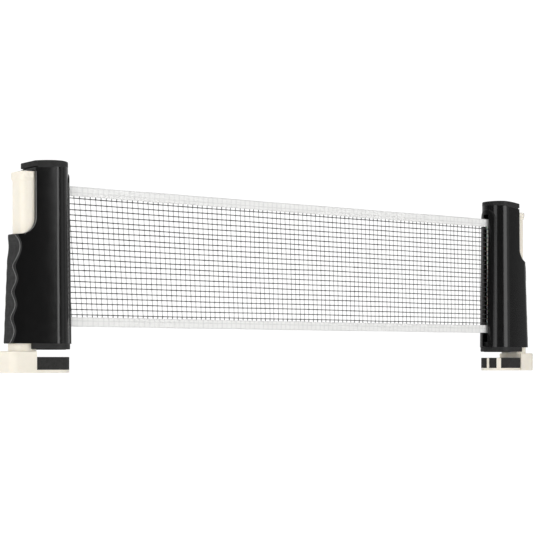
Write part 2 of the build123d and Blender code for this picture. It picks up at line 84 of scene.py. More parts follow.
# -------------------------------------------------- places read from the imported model
post_axis = {s: sum(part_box(f"{s}_upper_pad"), Vector()) / 2 for s in SIDES}
NET_X0, NET_X1 = (corner.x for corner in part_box("net_mesh"))
NET_LENGTH = NET_X1 - NET_X0
NET_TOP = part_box("net_top_tape")[1].z
NET_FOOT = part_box("net_bottom_tape")[0].z
NET_MIDDLE = (NET_TOP + NET_FOOT) / 2
JOINT = {j["name"]: j for j in frame["joints"]}
UNROLL = max(JOINT["net_unroll"]["range_m"])

# -------------------------------------------------- the net's measures
ROWS = 22
ROW_PITCH = 5.19 * MM
COLUMN_PITCH = 5.74 * MM
END_GAP = 1 * MM                # the least room between a stretch's end and its first column
ROW_R = 0.46 * MM
COLUMN_R = 0.22 * MM
ROW_UNEVEN = 0.05               # how much a thread's thickness varies, as a share of it
COLUMN_UNEVEN = 0.08
ROW_WANDER = 0.16 * MM          # how far a crossing strays up or down, and along the net
COLUMN_WANDER = 0.22 * MM
ROW_STEPS = 6                   # points of a row for each column, and of a column for each row
COLUMN_STEPS = 5
ROW_SIDES = 6
COLUMN_SIDES = 5
KNOT = 0.28                     # how much fatter a row is at a crossing
COLUMN_KNOT = 1.4 * KNOT
KNOT_REACH = 0.75 * MM
WEAVE = 0.12 * MM               # how far the threads pass in front of each other
TAPE_HEIGHT = 9.0 * MM
TAPE_HALF = 0.46 * MM
TAPE_WALL = 0.22 * MM
FOLD_DEPTH = 1.6                # the fold's depth, in half thicknesses of the tape
FOLD_PROUD = 0.8 * MM           # the folds stand a little out from the net's nominal edge
FOLD_REACH = (NET_TOP - NET_FOOT) / 2 + FOLD_PROUD
PUCKER = 0.05 * MM              # how the tape's walls, edges and middle stray from straight
EDGE_WANDER = 0.10 * MM
DRIFT = 0.04 * MM
SEAM_DROP = 5.6 * MM            # from a fold to its seam
STITCH_PITCH = 2.9 * MM
STITCH_LENGTH = 2.1 * MM
STITCH_R = 0.13 * MM
STITCH_PROUD = 0.05 * MM        # a stitch's middle stands out of the cloth, and its ends go in
STITCH_SUNK = 0.10 * MM
HEM_LOOP = 0.9 * MM             # the thicker ends of the columns, where they leave a tape
HEM_COVER = 2.5 * MM            # how far the columns go on inside a tape
LEAN = 0.07                     # the columns' lean beside the reel, which fades along the net
LEAN_FADE = 0.14
RIGHT_RISE = 0.3 * MM           # the net sits a little higher at the anchored end
RESERVE_DEPTH = 2.2 * MM        # the slot's mouth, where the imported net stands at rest


# -------------------------------------------------- materials
def set_range(ramp, from_min, from_max, to_min, to_max):
    """Fill in a Map Range node."""
    for key, value in (
        ("From Min", from_min),
        ("From Max", from_max),
        ("To Min", to_min),
        ("To Max", to_max),
    ):
        ramp.inputs[key].default_value = value


class Look:
    """A material built round one Principled shader, with its normal chain and colour chain."""

    def __init__(self, name, colour, roughness, metallic=0.0, edge=0.35 * MM):
        self.material = bpy.data.materials.new(name)
        self.material.use_nodes = True
        self.tree = self.material.node_tree
        self.shader = self.tree.nodes["Principled BSDF"]
        self.shader.inputs["Base Color"].default_value = (*colour, 1)
        self.shader.inputs["Roughness"].default_value = roughness
        self.shader.inputs["Metallic"].default_value = metallic
        self.colour = None
        self.normal = None
        self.flat_colour = colour
        self.place = self.add("ShaderNodeTexCoord").outputs["Object"]
        if edge:
            rounded = self.add("ShaderNodeBevel", samples=4)
            rounded.inputs["Radius"].default_value = edge
            self.normal = rounded.outputs["Normal"]

    def add(self, kind, **settings):
        node = self.tree.nodes.new(kind)
        for key, value in settings.items():
            setattr(node, key, value)
        return node

    def link(self, source, target):
        self.tree.links.new(source, target)

    def noise(self, scale, detail=3.0, stretch=(1, 1, 1)):
        """A noise field's factor, in the part's own frame."""
        mapping = self.add("ShaderNodeMapping")
        mapping.inputs["Scale"].default_value = stretch
        self.link(self.place, mapping.inputs["Vector"])
        field = self.add("ShaderNodeTexNoise")
        field.inputs["Scale"].default_value = scale
        field.inputs["Detail"].default_value = detail
        self.link(mapping.outputs["Vector"], field.inputs["Vector"])
        return field.outputs["Fac"]

    def bands(self, pitch, turn=(0, 0, 0)):
        """Evenly spaced bands, square to the turned X axis."""
        mapping = self.add("ShaderNodeMapping")
        mapping.inputs["Rotation"].default_value = turn
        self.link(self.place, mapping.inputs["Vector"])
        wave = self.add("ShaderNodeTexWave", wave_type="BANDS", bands_direction="X")
        wave.inputs["Scale"].default_value = 2 * math.pi / pitch / 20
        self.link(mapping.outputs["Vector"], wave.inputs["Vector"])
        return wave.outputs["Fac"]

    def remap(self, field, low, high, start=0.3, end=0.7):
        """A field brought from start..end to low..high."""
        ramp = self.add("ShaderNodeMapRange")
        set_range(ramp, start, end, low, high)
        self.link(field, ramp.inputs["Value"])
        return ramp.outputs["Result"]

    def combine(self, operation, a, b):
        """Two fields added or multiplied."""
        node = self.add("ShaderNodeMath", operation=operation)
        for value, socket in ((a, node.inputs[0]), (b, node.inputs[1])):
            if isinstance(value, float):
                socket.default_value = value
            else:
                self.link(value, socket)
        return node.outputs[0]

    def from_net_middle(self):
        """How far a point is above or below the net's middle."""
        split = self.add("ShaderNodeSeparateXYZ")
        self.link(self.place, split.inputs[0])
        height = self.combine("SUBTRACT", split.outputs["Z"], NET_MIDDLE)
        return self.combine("ABSOLUTE", height, 0.0)

    def tint(self, mask, colour):
        """Lay a colour over the base where the mask says."""
        mix = self.add("ShaderNodeMix", data_type="RGBA")
        self.link(mask, mix.inputs["Factor"])
        if self.colour is None:
            mix.inputs["A"].default_value = (*self.flat_colour, 1)
        else:
            self.link(self.colour, mix.inputs["A"])
        mix.inputs["B"].default_value = (*colour, 1)
        self.colour = mix.outputs["Result"]
        self.link(self.colour, self.shader.inputs["Base Color"])

    def rough(self, field, low, high):
        """Roughness that wanders between two values."""
        self.link(self.remap(field, low, high), self.shader.inputs["Roughness"])

    def bump(self, height, depth, strength=1.0):
        """Relief of a field, its depth in metres."""
        node = self.add("ShaderNodeBump")
        node.inputs["Distance"].default_value = depth
        node.inputs["Strength"].default_value = strength
        self.link(height, node.inputs["Height"])
        if self.normal is not None:
            self.link(self.normal, node.inputs["Normal"])
        self.normal = node.outputs["Normal"]
        self.link(self.normal, self.shader.inputs["Normal"])

    def edges(self, radius=0.7 * MM):
        """A mask of the part's outer edges, broken up by noise, for painting them lighter: partly
        wear, partly a painted edge highlight.
        """
        rounded = self.add("ShaderNodeBevel", samples=4)
        rounded.inputs["Radius"].default_value = radius
        shape = self.add("ShaderNodeNewGeometry")
        along = self.add("ShaderNodeVectorMath", operation="DOT_PRODUCT")
        self.link(rounded.outputs["Normal"], along.inputs[0])
        self.link(shape.outputs["True Normal"], along.inputs[1])
        bent = self.remap(along.outputs["Value"], 1.0, 0.0, 0.75, 0.98)
        broken = self.remap(self.noise(420, 4), 0.25, 1.0)
        return self.combine("MULTIPLY", bent, broken)


def set_sockets(look, **values):
    for key, value in values.items():
        look.shader.inputs[key.replace("_", " ")].default_value = value


def black_moulding():
    """Glossy black ABS with a faint grain, painted lighter along its edges: partly wear, partly a
    painted edge highlight.
    """
    look = Look("black_housing", (0.0042, 0.0042, 0.0043), 0.14)
    look.tint(look.remap(look.noise(400, 5), 0.0, 0.6), (0.0060, 0.0059, 0.0057))
    # lighter edges: partly wear, partly a painted highlight along the edges
    look.tint(look.combine("MULTIPLY", look.edges(), 0.55), (0.05, 0.05, 0.05))
    look.rough(look.noise(130, 5), 0.13, 0.17)
    look.bump(look.noise(3200, 2), 0.008 * MM, 0.4)
    set_sockets(look, IOR=1.5)
    return look.material


def black_cap_moulding():
    """The caps' duller black, with a coarser grain."""
    look = Look("black_cap", (0.006, 0.006, 0.006), 0.54)
    look.tint(look.remap(look.noise(300, 5), 0.0, 0.6), (0.012, 0.012, 0.0115))
    # lighter edges: partly wear, partly a painted highlight along the edges
    look.tint(look.combine("MULTIPLY", look.edges(), 0.5), (0.045, 0.045, 0.045))
    look.rough(look.noise(200, 5), 0.48, 0.60)
    look.bump(look.noise(1900, 3), 0.03 * MM, 0.7)
    return look.material


def grip_rubber():
    """Soft black rubber, cut with a fine diagonal rib, its colour lighter along the rib bands and
    in random patches, and painted lighter along its edges: partly wear, partly a painted edge
    highlight.
    """
    look = Look("grip_rubber", (0.012, 0.012, 0.0125), 0.6)
    rib = look.bands(1.1 * MM, (0, math.radians(38), 0))
    look.tint(look.remap(rib, 0.0, 0.45, 0.2, 0.9), (0.026, 0.026, 0.026))
    look.tint(look.remap(look.noise(320, 5), 0.0, 0.3), (0.036, 0.035, 0.033))
    # lighter edges: partly wear, partly a painted highlight along the edges
    look.tint(look.combine("MULTIPLY", look.edges(0.5 * MM), 0.7), (0.10, 0.10, 0.10))
    look.rough(look.noise(260, 4), 0.50, 0.68)
    look.bump(rib, 0.10 * MM, 0.8)
    look.bump(look.noise(2600, 3), 0.02 * MM, 0.6)
    return look.material


def painted_highlight_bead_look():
    """The thin beads along the edges, their grey a painted highlight."""
    look = Look("grip_bead", (0.17, 0.17, 0.17), 0.35, edge=None)
    look.tint(look.remap(look.noise(500, 4), 0.0, 0.6), (0.26, 0.26, 0.255))
    look.rough(look.noise(300, 4), 0.28, 0.45)
    look.bump(look.noise(1800, 3), 0.02 * MM, 0.6)
    return look.material


def cream_moulding():
    """Off-white moulding, slightly see-through, with faint flow marks and hand marks."""
    look = Look("cream_plastic", (0.86, 0.805, 0.70), 0.36, edge=0.5 * MM)
    look.tint(look.remap(look.noise(22, 3, (1, 1, 0.35)), 0.0, 0.35), (0.89, 0.845, 0.745))
    look.tint(look.remap(look.noise(150, 6), 0.0, 0.12, 0.5, 0.8), (0.70, 0.64, 0.54))
    look.rough(look.noise(70, 4), 0.30, 0.44)
    look.bump(look.noise(2400, 2), 0.010 * MM, 0.5)
    look.bump(look.noise(60, 2), 0.06 * MM, 0.2)
    set_sockets(look, Subsurface_Weight=0.12, Subsurface_Scale=1.2 * MM)
    look.shader.inputs["Subsurface Radius"].default_value = (1.0, 0.8, 0.5)
    return look.material


def pad_rubber():
    """Dense black foam rubber with an open skin."""
    look = Look("pad_rubber", (0.013, 0.0128, 0.0122), 0.78, edge=0.5 * MM)
    look.tint(look.remap(look.noise(700, 5), 0.0, 0.6), (0.029, 0.028, 0.027))
    # lighter edges: partly wear, partly a painted highlight along the edges
    look.tint(look.combine("MULTIPLY", look.edges(), 0.6), (0.07, 0.07, 0.067))
    look.rough(look.noise(300, 4), 0.68, 0.86)
    look.bump(look.noise(1500, 4), 0.06 * MM, 0.8)
    return look.material


def metal(name, colour, low, high, stretch):
    """Steel, drawn or turned, with fine marks along one direction and a little tarnish."""
    look = Look(name, colour, low, 1.0, edge=0.15 * MM)
    marks = look.noise(900, 4, stretch)
    look.tint(look.remap(look.noise(240, 5), 0.0, 0.35), tuple(0.62 * c for c in colour))
    look.rough(marks, low, high)
    look.bump(marks, 0.01 * MM, 0.5)
    return look.material


def white_nylon():
    """Milky nylon, as the bushes and the net's clip are turned from."""
    look = Look("white_nylon", (0.76, 0.75, 0.70), 0.42, edge=0.3 * MM)
    look.tint(look.remap(look.noise(90, 4), 0.0, 0.3), (0.66, 0.645, 0.59))
    look.rough(look.noise(300, 4, (1, 1, 5)), 0.36, 0.52)
    look.bump(look.noise(1200, 3, (1, 1, 6)), 0.015 * MM, 0.6)
    set_sockets(look, Subsurface_Weight=0.2, Subsurface_Scale=1.5 * MM)
    return look.material


def net_thread():
    """Black braided nylon thread: a twist along it, with a dull sheen and lint."""
    look = Look("black_net", (0.014, 0.014, 0.015), 0.62, edge=None)
    twist = look.bands(0.75 * MM, (0, math.radians(45), 0))
    look.tint(look.remap(twist, 0.0, 0.55, 0.15, 0.85), (0.034, 0.034, 0.036))
    look.tint(look.remap(look.noise(1100, 4), 0.0, 0.4, 0.45, 0.8), (0.07, 0.07, 0.072))
    look.rough(look.noise(900, 3), 0.52, 0.74)
    look.bump(twist, 0.08 * MM, 0.8)
    set_sockets(look, Sheen_Weight=0.25, Sheen_Roughness=0.5)
    return look.material


def tape_cloth():
    """White polyester tape: a plain weave, a little soiled, with a soft sheen, painted shade
    towards its folds and a painted shadow line along its seam.
    """
    look = Look("white_tape", (0.92, 0.92, 0.91), 0.8, edge=None)
    warp = look.bands(0.55 * MM)
    weft = look.bands(0.50 * MM, (0, math.radians(90), 0))
    weave = look.combine("MULTIPLY", warp, weft)
    look.tint(look.remap(weave, 0.35, 0.0, 0.0, 0.5), (0.80, 0.80, 0.79))
    look.tint(look.remap(look.noise(160, 5), 0.0, 0.35), (0.84, 0.835, 0.82))
    painted_shade = (0.70, 0.70, 0.69)
    away = look.from_net_middle()
    # painted shade: the tape darker towards its fold
    fold = look.remap(away, 0.0, 0.8, FOLD_REACH - 1.5 * MM, FOLD_REACH - 0.3 * MM)
    look.tint(fold, painted_shade)
    # painted shadow: a darker line along the seam, broken by noise
    past_seam = look.combine("SUBTRACT", away, FOLD_REACH - SEAM_DROP)
    beside_seam = look.combine("ABSOLUTE", past_seam, 0.0)
    seam = look.remap(beside_seam, 0.8, 0.0, 0.3 * MM, 0.8 * MM)
    seam_shadow_breaks = look.remap(look.noise(260, 3), 0.3, 1.0)
    look.tint(look.combine("MULTIPLY", seam, seam_shadow_breaks), painted_shade)
    threads = look.remap(look.bands(COLUMN_PITCH), 0.75, 0.0, 0.0, 0.35)
    thread_breaks = look.remap(look.noise(180, 3), 0.3, 1.0)
    look.tint(look.combine("MULTIPLY", threads, thread_breaks), (0.72, 0.72, 0.72))
    look.rough(look.noise(400, 3), 0.72, 0.88)
    look.bump(weave, 0.07 * MM, 0.8)
    look.bump(look.noise(300, 3), 0.10 * MM, 0.5)
    set_sockets(look, Sheen_Weight=0.15, Sheen_Roughness=0.4)
    return look.material


def stitch_thread():
    """Glossier white sewing thread."""
    look = Look("stitch_thread", (0.80, 0.80, 0.79), 0.5, edge=None)
    twist = look.bands(0.22 * MM, (0, math.radians(40), 0))
    look.tint(look.remap(twist, 0.0, 0.5, 0.2, 0.8), (0.64, 0.64, 0.63))
    look.rough(look.noise(800, 3), 0.42, 0.6)
    look.bump(twist, 0.03 * MM, 0.7)
    return look.material


def rolled_net():
    """The wound net as seen through the slot: white tape at both ends, dark mesh between."""
    look = Look("rolled_net", (0.016, 0.016, 0.017), 0.7, edge=None)
    rows = look.bands(ROW_PITCH, (0, math.radians(90), 0))
    look.tint(look.remap(rows, 0.0, 0.5, 0.4, 0.9), (0.05, 0.05, 0.05))
    reach = FOLD_REACH - TAPE_HEIGHT
    away = look.from_net_middle()
    look.tint(look.remap(away, 0.0, 1.0, reach - 0.2 * MM, reach + 0.2 * MM), (0.80, 0.80, 0.78))
    look.rough(look.noise(500, 3), 0.6, 0.8)
    look.bump(look.noise(900, 4), 0.15 * MM, 0.8)
    return look.material


def floor_paint():
    """A plain pale studio floor, which looks white and lights the part only a little."""
    look = Look("studio_floor", (0.90, 0.90, 0.89), 0.9, edge=None)
    look.tint(look.remap(look.noise(3, 2), 0.0, 0.3), (0.92, 0.92, 0.915))
    set_sockets(look, Specular_IOR_Level=0.0)
    look.shader.inputs["Emission Color"].default_value = (1, 1, 1, 1)
    seen = look.add("ShaderNodeLightPath").outputs["Is Camera Ray"]
    look.link(look.remap(seen, 0.05, 0.80, 0.0, 1.0), look.shader.inputs["Emission Strength"])
    return look.material


# -------------------------------------------------- meshes
def make(name, points, faces, material, smooth=True):
    """One mesh piece, in the model's own frame."""
    mesh = bpy.data.meshes.new(name)
    mesh.from_pydata(np.asarray(points).tolist(), [], faces)
    mesh.materials.append(material)
    mesh.polygons.foreach_set("use_smooth", [smooth] * len(mesh.polygons))
    piece = bpy.data.objects.new(name, mesh)
    bpy.context.scene.collection.objects.link(piece)
    return piece


def ring_faces(first, rings, count):
    """Faces that close a stack of rings into a tube with ends. Its vertices start at first."""
    faces = []
    for i in range(rings - 1):
        a = first + i * count
        for j in range(count):
            k = (j + 1) % count
            faces.append((a + j, a + k, a + count + k, a + count + j))
    last = first + (rings - 1) * count
    faces.append(tuple(range(first + count - 1, first - 1, -1)))
    faces.append(tuple(range(last, last + count)))
    return faces


def tubes(paths, radii, sides, u, v):
    """Points and faces of round threads. Each path (n, 3) has a radius at each of its points,
    and its rings lie in the plane of u and v."""
    points = []
    faces = []
    turns = np.linspace(0, 2 * math.pi, sides, endpoint=False)
    ring = np.outer(np.cos(turns), u) + np.outer(np.sin(turns), v)
    first = 0
    for path, radius in zip(paths, radii):
        stack = path[:, None, :] + radius[:, None, None] * ring[None, :, :]
        points.append(stack.reshape(-1, 3))
        faces += ring_faces(first, len(path), sides)
        first += len(path) * sides
    return np.concatenate(points), faces


def smooth_noise(count, spread, size):
    """Random values whose neighbours are alike over spread steps, scaled to size."""
    raw = rng.normal(size=count + 6 * spread)
    kernel = np.exp(-0.5 * (np.arange(-3 * spread, 3 * spread + 1) / spread) ** 2)
    soft = np.convolve(raw, kernel / np.sqrt((kernel**2).sum()), mode="valid")
    return size * soft[:count]


# -------------------------------------------------- the net
def lift(x):
    """How much higher the net is at a place along it."""
    share = (np.asarray(x) - NET_X0) / NET_LENGTH
    return RIGHT_RISE * np.clip(share, 0, 1) ** 2


def net_threads(x0, x1, lean):
    """Points and faces of a stretch of net: rows along X, columns up between the tapes."""
    columns = int((x1 - x0 - 2 * END_GAP) / COLUMN_PITCH) + 1
    margin = (x1 - x0 - (columns - 1) * COLUMN_PITCH) / 2
    row_z = NET_MIDDLE + ROW_PITCH * (np.arange(ROWS) - (ROWS - 1) / 2)
    column_x = x0 + margin + COLUMN_PITCH * np.arange(columns)
    dx = np.stack([smooth_noise(ROWS, 3, COLUMN_WANDER) for _ in column_x], axis=1)
    dz = np.stack([smooth_noise(columns, 4, ROW_WANDER) for _ in row_z], axis=0)
    fade = lean * np.exp(-(column_x - x0) / LEAN_FADE) + lean / 4
    node_x = column_x[None, :] + dx + (NET_MIDDLE - row_z)[:, None] * fade[None, :]
    node_z = row_z[:, None] + dz + lift(column_x)[None, :]
    side = np.where((np.add.outer(np.arange(ROWS), np.arange(columns)) % 2) == 0, 1.0, -1.0)
    reach_low = NET_MIDDLE - FOLD_REACH + TAPE_HEIGHT - HEM_COVER
    reach_high = NET_MIDDLE + FOLD_REACH - TAPE_HEIGHT + HEM_COVER
    hem_reach = FOLD_REACH - TAPE_HEIGHT - HEM_LOOP
    paths = []
    radii = []
    for i in range(ROWS):
        xs = np.concatenate([[x0], node_x[i], [x1]])
        zs = np.concatenate([[node_z[i, 0]], node_z[i], [node_z[i, -1]]])
        at = np.linspace(x0, x1, ROW_STEPS * columns)
        nearest = np.abs(at[:, None] - node_x[i][None, :]).min(axis=1)
        y = np.interp(at, xs, np.concatenate([[0], side[i], [0]])) * WEAVE
        z = np.interp(at, xs, zs)
        paths.append(np.stack([at, y, z], axis=1))
        swell = 1 + KNOT * np.exp(-((nearest / KNOT_REACH) ** 2))
        radii.append(ROW_R * swell * (1 + smooth_noise(len(at), 2, ROW_UNEVEN)))
    row_points, row_faces = tubes(paths, radii, ROW_SIDES, (0, 1, 0), (0, 0, 1))
    paths = []
    radii = []
    for j in range(columns):
        xs = np.concatenate([[node_x[0, j]], node_x[:, j], [node_x[-1, j]]])
        zs = np.concatenate([[reach_low], node_z[:, j], [reach_high]])
        at = np.linspace(reach_low, reach_high, COLUMN_STEPS * ROWS)
        nearest = np.abs(at[:, None] - node_z[:, j][None, :]).min(axis=1)
        y = -np.interp(at, zs, np.concatenate([[0], side[:, j], [0]])) * WEAVE
        x = np.interp(at, zs, xs)
        paths.append(np.stack([x, y, at], axis=1))
        hem = np.abs(np.abs(at - NET_MIDDLE) - hem_reach)
        knots = COLUMN_KNOT * np.exp(-((nearest / KNOT_REACH) ** 2))
        swell = 1 + knots + np.exp(-((hem / HEM_LOOP) ** 2))
        radii.append(COLUMN_R * swell * (1 + smooth_noise(len(at), 2, COLUMN_UNEVEN)))
    column_points, column_faces = tubes(paths, radii, COLUMN_SIDES, (1, 0, 0), (0, 1, 0))
    shifted = [tuple(k + len(row_points) for k in face) for face in column_faces]
    return np.concatenate([row_points, column_points]), row_faces + shifted


def tape_profile():
    """The folded tape's section, as (across, down from the fold) points round both walls."""
    outer = TAPE_HALF
    inner = TAPE_HALF - TAPE_WALL
    depth = outer * FOLD_DEPTH
    drops = np.linspace(TAPE_HEIGHT, depth, 7)
    bends = np.linspace(0, math.pi, 7)[1:-1]
    out = [(-outer, d) for d in drops]
    out += [(-outer * math.cos(b), depth * (1 - math.sin(b))) for b in bends]
    out += [(outer, d) for d in drops[::-1]]
    back = [(inner, d) for d in drops]
    back += [(inner * math.cos(b), TAPE_WALL + depth * (1 - math.sin(b))) for b in bends]
    back += [(-inner, d) for d in drops[::-1]]
    return np.array(out + back)


def tape(x0, x1, fold_z, way, step=1.5 * MM):
    """Points and faces of a tape folded over the net's edge, and how far its middle strays
    at each place along it. way is +1 with the fold on top."""
    profile = tape_profile()
    count = len(profile)
    xs = np.linspace(x0, x1, max(2, int((x1 - x0) / step)))
    pucker = smooth_noise(len(xs), 2, PUCKER)
    pucker_back = smooth_noise(len(xs), 2, PUCKER)
    edge = smooth_noise(len(xs), 3, EDGE_WANDER)
    fold = smooth_noise(len(xs), 8, EDGE_WANDER)
    drift = smooth_noise(len(xs), 14, DRIFT)
    share = profile[:, 1] / TAPE_HEIGHT
    belly = np.sin(np.clip(share, 0, 1) * math.pi)
    points = np.zeros((len(xs), count, 3))
    points[:, :, 0] = xs[:, None]
    outward = np.where(profile[:, 0] < 0, -1.0, 1.0)
    swell = np.where(profile[:, 0][None, :] < 0, pucker[:, None], pucker_back[:, None])
    points[:, :, 1] = profile[:, 0] + drift[:, None] + outward * belly * np.abs(swell)
    drop = profile[:, 1][None, :] + edge[:, None] * share[None, :] ** 2
    points[:, :, 2] = fold_z + lift(xs)[:, None] + way * (fold[:, None] * (1 - share) - drop)
    return points.reshape(-1, 3), ring_faces(0, len(xs), count), xs, drift


def stitches(x0, x1, seam_z, drift_at):
    """Points and faces of a row of sewing stitches on both faces of a tape."""
    paths = []
    radii = []
    for at in np.arange(x0 + STITCH_PITCH, x1 - STITCH_PITCH, STITCH_PITCH):
        for face in (-1, 1):
            lean = random.uniform(-0.12, 0.12) * MM
            share = np.linspace(-1, 1, 7)
            arch = 1 - share**4
            middle = at + random.uniform(-0.1, 0.1) * MM
            x = middle + share * STITCH_LENGTH / 2
            out = TAPE_HALF + arch * STITCH_PROUD - (1 - arch) * STITCH_SUNK
            y = drift_at(middle) + face * out
            z = seam_z + float(lift(middle)) + share * lean
            paths.append(np.stack([x, y, z], axis=1))
            radii.append(STITCH_R * (0.55 + 0.45 * arch))
    return tubes(paths, radii, 6, (0, 1, 0), (0, 0, 1))


def compressed(points, x0, x1, rest0, rest1):
    """A stretch's points packed along X into the rest span, spaced by the inverse of a smooth
    step.
    """
    share = np.clip((points[:, 0] - x0) / (x1 - x0), 0, 1)
    way = 0.5 - np.sin(np.arcsin(1 - 2 * share) / 3)
    packed = points.copy()
    packed[:, 0] = rest0 + way * (rest1 - rest0)
    return packed


black_net = net_thread()
white_tape = tape_cloth()
thread = stitch_thread()
FOLDS = (("top", NET_TOP + FOLD_PROUD, 1), ("bottom", NET_FOOT - FOLD_PROUD, -1))

points, faces = net_threads(NET_X0, NET_X1, LEAN)
net = make("net_strands", points, faces, black_net)
tapes = {}
seams = {}
for name, fold_z, way in FOLDS:
    points, faces, xs, drift = tape(NET_X0, NET_X1, fold_z, way)
    tapes[name] = make(f"net_{name}_tape_cloth", points, faces, white_tape)
    seam_z = fold_z - way * SEAM_DROP
    points, faces = stitches(NET_X0, NET_X1, seam_z, lambda x: np.interp(x, xs, drift))
    seams[name] = make(f"net_{name}_seam", points, faces, thread)

for piece in (net, *tapes.values(), *seams.values()):
    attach(piece, "net_lead")
    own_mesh(piece)
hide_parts("net_mesh")
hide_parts("net_top_tape")
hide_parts("net_bottom_tape")

# the rest of the net, packed at the slot's mouth as it stands before it is pulled off the reel
RESERVE_REST = (NET_X0 - RESERVE_DEPTH, NET_X0)
RESERVE_OUT = (NET_X0, NET_X0 + UNROLL)
reserve = {}
points, faces = net_threads(*RESERVE_OUT, 0.0)
reserve["net"] = make(
    "net_strands_reserve",
    compressed(points, *RESERVE_OUT, *RESERVE_REST),
    faces,
    black_net,
)
for name, fold_z, way in FOLDS:
    points, faces, xs, drift = tape(*RESERVE_OUT, fold_z, way, step=3 * MM)
    points[:, 2] -= lift(points[:, 0])
    reserve[name] = make(
        f"net_{name}_tape_reserve",
        compressed(points, *RESERVE_OUT, *RESERVE_REST),
        faces,
        white_tape,
    )
for piece in reserve.values():
    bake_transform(piece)


# -------------------------------------------------- screws
HEAD_R = 2.05 * MM
HEAD_H = 1.4 * MM
HEAD_DOME = 0.45 * MM
HEAD_EDGE = 0.8 * MM            # from the head's top to where its side starts to draw in
RECESS_HALF = 0.34 * MM         # the cross recess: an arm's half width, its reach and its depth
RECESS_REACH = 1.25 * MM
RECESS_DEPTH = 0.75 * MM
NECK_R = 1.0 * MM
THREAD_PITCH = 0.8 * MM
THREAD_STEPS = 4                # rings in each turn of the thread
FLANK_R = 1.02
THREAD_R = (FLANK_R - 0.08, FLANK_R, FLANK_R + 0.14, FLANK_R)  # in mm: valley, flank, crest, flank
THREAD_RINGS = 36
TAPER = 0.012                   # how much thinner the thread gets at each ring
SCREW_POINTS = 48               # round a screw
SCREW_INSET = 2.1 * MM          # from the node's end to the screw's middle
SCREW_ANGLES = 2 * math.pi * np.arange(SCREW_POINTS) / SCREW_POINTS


def screw(centre, way):
    """Points and the number of rings of a pan-head screw with a cross recess.
    centre is the head's top, and way is +1 with the head up."""
    rings = []
    for share in np.linspace(0.02, 1, 12):
        ring = []
        for a in SCREW_ANGLES:
            x = HEAD_R * share * math.cos(a)
            y = HEAD_R * share * math.sin(a)
            dome = -HEAD_DOME * share**3
            near, far = sorted((abs(x), abs(y)))
            in_recess = near < RECESS_HALF and far < RECESS_REACH
            sunk = -RECESS_DEPTH * (1 - 0.45 * share) if in_recess else 0.0
            ring.append((x, y, dome + sunk))
        rings.append(ring)
    profile = [(HEAD_R, -HEAD_EDGE), (HEAD_R * 0.97, -HEAD_H), (NECK_R, -HEAD_H)]
    for step in range(1, THREAD_RINGS + 1):
        depth = HEAD_H + step * THREAD_PITCH / THREAD_STEPS
        taper = 1.0 - TAPER * step
        profile.append((THREAD_R[step % THREAD_STEPS] * MM * taper, -depth))
    for r, z in profile:
        rings.append([(r * math.cos(a), r * math.sin(a), z) for a in SCREW_ANGLES])
    points = np.array(rings).reshape(-1, 3)
    if way < 0:
        points[:, 2] *= -1
        points[:, 1] *= -1
    return points + np.array(centre), len(rings)


steel = metal("screw_steel", (0.56, 0.56, 0.55), 0.25, 0.42, (1, 1, 1))
for side in SIDES:
    for kind, way in (("top", 1), ("base", -1)):
        node = f"{side}_{kind}_screws"
        low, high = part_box(node)
        z = high.z if way > 0 else low.z
        points = []
        faces = []
        for y in (low.y + SCREW_INSET, high.y - SCREW_INSET):
            made, rings = screw(((low.x + high.x) / 2, y, z), way)
            faces += ring_faces(sum(map(len, points)), rings, SCREW_POINTS)
            points.append(made)
        pair = make(f"{side}_{kind}_screw_pair", np.concatenate(points), faces, steel)
        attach(pair, f"{side}_post")
        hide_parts(node)

# -------------------------------------------------- the clamps' return springs, copied in spring steel onto the posts
spring_steel = metal("spring_steel", (0.50, 0.50, 0.49), 0.22, 0.38, (1, 1, 4))
for side in SIDES:
    node = nodes[f"{side}_return_spring"]
    spring = node.copy()
    spring.data = node.data.copy()
    spring.name = f"{side}_clamp_spring"
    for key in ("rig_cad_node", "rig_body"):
        if key in spring:
            del spring[key]
    spring.parent = None
    spring.data.materials.clear()
    spring.data.materials.append(spring_steel)
    bpy.context.scene.collection.objects.link(spring)
    low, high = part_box(f"{side}_return_spring")
    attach(spring, f"{side}_post")
    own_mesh(spring)
    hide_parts(f"{side}_return_spring")

# -------------------------------------------------- the beads on two edges, painted pale as an edge highlight
OUTBOARD = {"left": -1, "right": 1}
RAY_START = 80 * MM             # well outside a post
CUT_OUT_HUB = 37.5 * MM         # the middle of the cut-out's round corner, from the post's axis
CUT_OUT_RISE = 16 * MM          # and above the grip
CUT_OUT_REACH = 18 * MM         # the corner is nearer to its hub than this
HOUSING_SIDE = 13.2 * MM        # a plane just inside the housing's flank
GRIP_BEAD_R = 0.33 * MM
RIM_BEAD_R = 0.36 * MM
BEAD_SIDES = 8


def surface_of(name):
    """A node's surface, to cast rays at."""
    return BVHTree.FromObject(nodes[name], bpy.context.evaluated_depsgraph_get())


def flank_at(tree, x, z, flank):
    """Where a flank stands at a place, met from outside, or None."""
    return tree.ray_cast(Vector((x, flank * RAY_START, z)), Vector((0, -flank, 0)))[0]


def grip_edge(side, flank):
    """The corner where the finger grooves' face meets one flank of the grip, from foot to top."""
    low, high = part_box(f"{side}_grip")
    outboard = OUTBOARD[side]
    start_x = post_axis[side].x + outboard * RAY_START
    tree = surface_of(f"{side}_grip")
    corner = []
    for z in np.linspace(low.z + 0.4 * MM, high.z - 0.4 * MM, 120):
        face = tree.ray_cast(Vector((start_x, 0, z)), Vector((-outboard, 0, 0)))[0]
        if face is None:
            continue
        x = face.x - outboard * 0.25 * MM
        wall = flank_at(tree, x, z, flank)
        if wall is not None:
            corner.append((x, wall.y - flank * 0.05 * MM, z))
    return np.array(corner)


